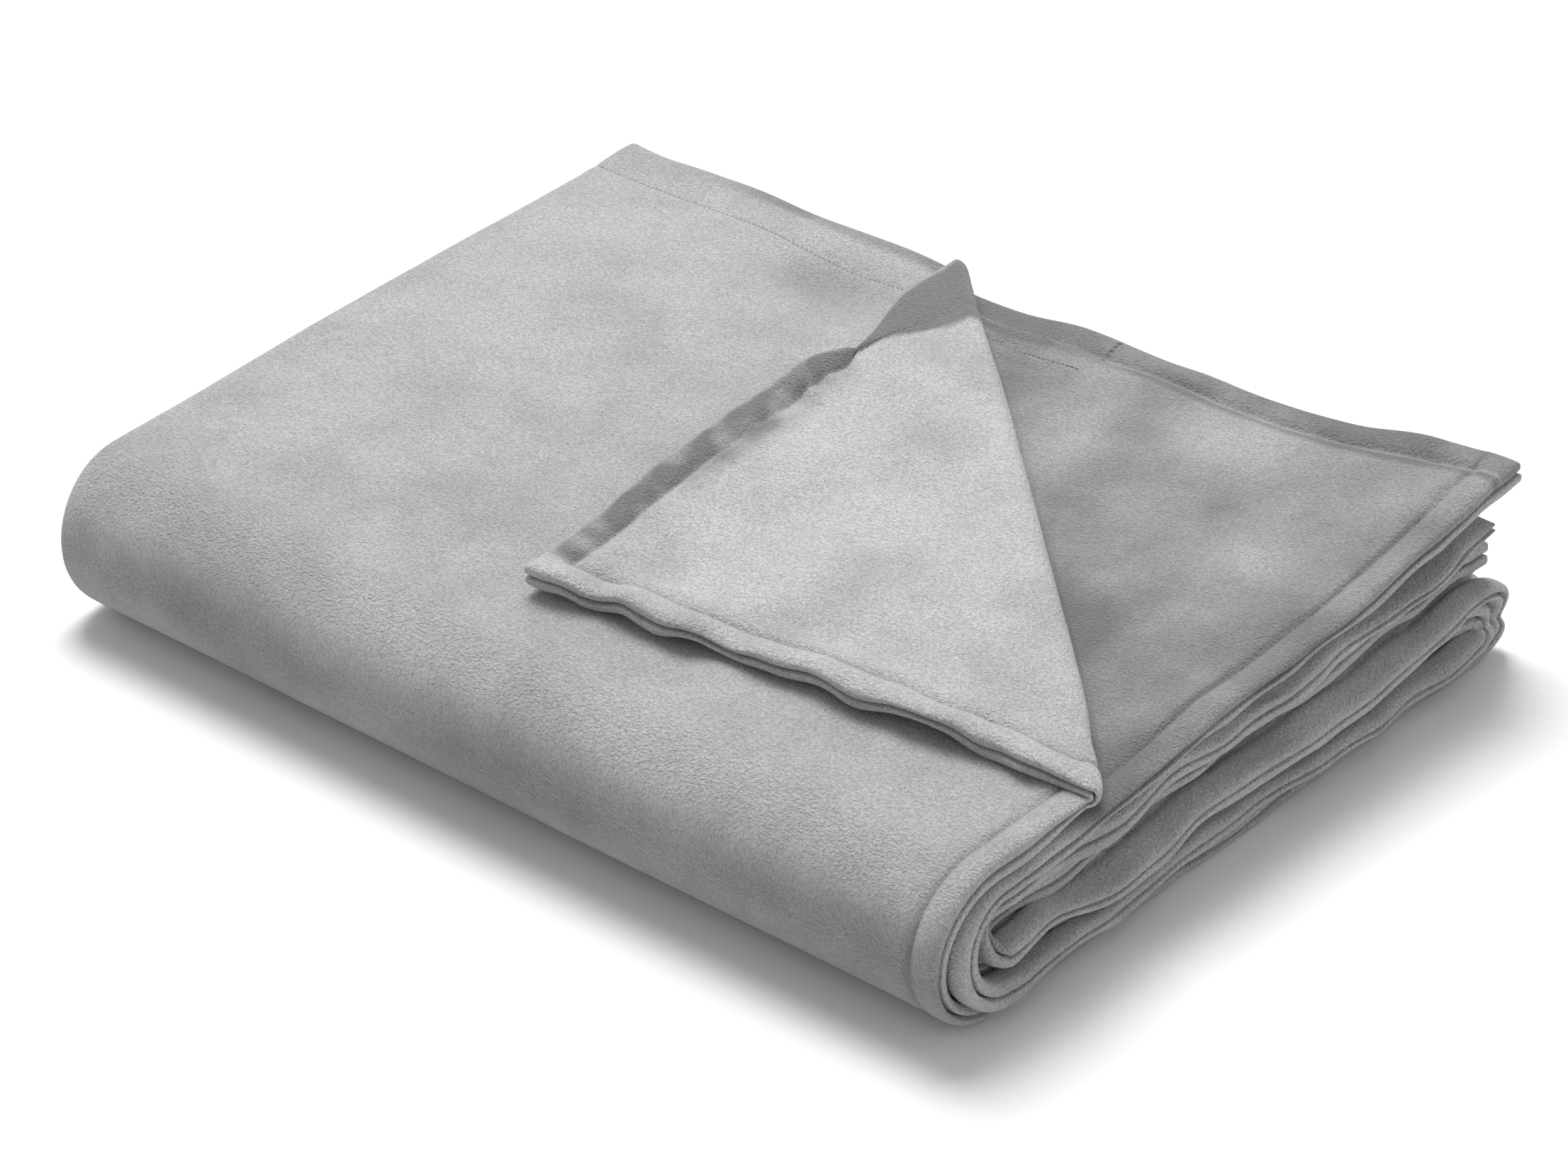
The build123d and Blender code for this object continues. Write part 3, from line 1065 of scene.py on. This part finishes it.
# Each plush gets a pale colour, a darker colour for nap and painted shade, and a painted shade colour for
# the gaps of the pile.
front_plush = make_plush("front_grey_sheared_plush", "#c9c9c9", "#868686", "#666666")
back_plush = make_plush("back_grey_sheared_plush", "#d4d4d4", "#7a7a7a", "#646464")
for name, piece in pieces.items():
    piece.data.materials.append(front_plush if name.startswith("plush_front") else back_plush)


# %% Thread material
def make_thread_material():
    """Spun polyester sewing thread, dyed to the cloth: dull, with a fine twist."""
    spun = bpy.data.materials.new("grey_spun_polyester_thread")
    spun.use_nodes = True
    spun.node_tree.nodes.clear()
    where = add_node(spun, "ShaderNodeTexCoord").outputs["Object"]
    twist = add_node(spun, "ShaderNodeTexNoise", Vector=where, Scale=1 / (0.5 * MM), Detail=1.0)
    tone = add_node(spun, "ShaderNodeMix", {"data_type": "RGBA"}, Factor=twist.outputs["Fac"])
    tone.inputs[6].default_value = linear("#5c5c5c")
    tone.inputs[7].default_value = linear("#868686")
    relief = add_node(spun, "ShaderNodeBump", Height=twist.outputs["Fac"], Strength=0.4, Distance=0.15 * MM)
    shader = add_node(
        spun,
        "ShaderNodeBsdfPrincipled",
        Base_Color=tone.outputs[2],
        Normal=relief.outputs["Normal"],
        Roughness=0.75,
    )
    output = add_node(spun, "ShaderNodeOutputMaterial")
    spun.node_tree.links.new(shader.outputs["BSDF"], output.inputs["Surface"])
    return spun


spun_thread = make_thread_material()
for thread in threads:
    thread.data.materials.append(spun_thread)

# %% [markdown]
# ## Floor, light and camera
# A pale floor and big soft lights. The main light hangs over the
# throw and a little behind it, so the top is bright and the two near sides fall into shade.

# %% Floor
floor_bm = bmesh.new()
bmesh.ops.create_grid(floor_bm, x_segments=1, y_segments=1, size=6.0)
floor_mesh = bpy.data.meshes.new("pale_floor")
floor_bm.to_mesh(floor_mesh)
floor_bm.free()
floor = bpy.data.objects.new("pale_floor", floor_mesh)
bpy.context.scene.collection.objects.link(floor)
paint = bpy.data.materials.new("matt_white_floor_paint")
paint.use_nodes = True
floor_shader = paint.node_tree.nodes["Principled BSDF"]
floor_shader.inputs["Base Color"].default_value = linear("#f4f4f4")
floor_shader.inputs["Roughness"].default_value = 0.9
floor_mesh.materials.append(paint)


# %% Lights
def soft_light(name, place, aim, size, power):
    """A square area light that looks at a point."""
    light = bpy.data.lights.new(name, "AREA")
    light.shape = "SQUARE"
    light.size = size
    light.energy = power
    lamp = bpy.data.objects.new(name, light)
    lamp.location = place
    lamp.rotation_euler = (Vector(aim) - Vector(place)).to_track_quat("-Z", "Y").to_euler()
    bpy.context.scene.collection.objects.link(lamp)


soft_light("overhead_softbox", (-0.80, 0.60, 2.50), (0, 0, 0), 1.5, 80)
soft_light("hem_side_fill", (2.2, 0.6, 0.7), (0, 0, 0.05), 1.0, 3)
world = bpy.data.worlds.new("studio_white")
bpy.context.scene.world = world
world.use_nodes = True
world.node_tree.nodes["Background"].inputs["Color"].default_value = (1, 1, 1, 1)
world.node_tree.nodes["Background"].inputs["Strength"].default_value = 0.45
bpy.context.scene.view_settings.view_transform = "Standard"

# %% Camera
AZIMUTH, ELEVATION, ROLL = (math.radians(angle) for angle in (44.0, 32.3, -3.26))
TARGET = Vector((-0.0285, 0.0395, 0))
DISTANCE = 2.915
LENS = 130.5
back = Vector(
    (
        math.sin(AZIMUTH) * math.cos(ELEVATION),
        -math.cos(AZIMUTH) * math.cos(ELEVATION),
        math.sin(ELEVATION),
    )
)
right = Vector((math.cos(AZIMUTH), math.sin(AZIMUTH), 0))
up = back.cross(right)
tilted_right = right * math.cos(ROLL) + up * math.sin(ROLL)
tilted_up = up * math.cos(ROLL) - right * math.sin(ROLL)
camera_data = bpy.data.cameras.new("camera")
camera_data.lens = LENS
camera = bpy.data.objects.new("camera", camera_data)
camera.matrix_world = Matrix.Translation(TARGET + back * DISTANCE) @ Matrix(
    (tilted_right, tilted_up, back)
).transposed().to_4x4()
bpy.context.scene.collection.objects.link(camera)
bpy.context.scene.camera = camera
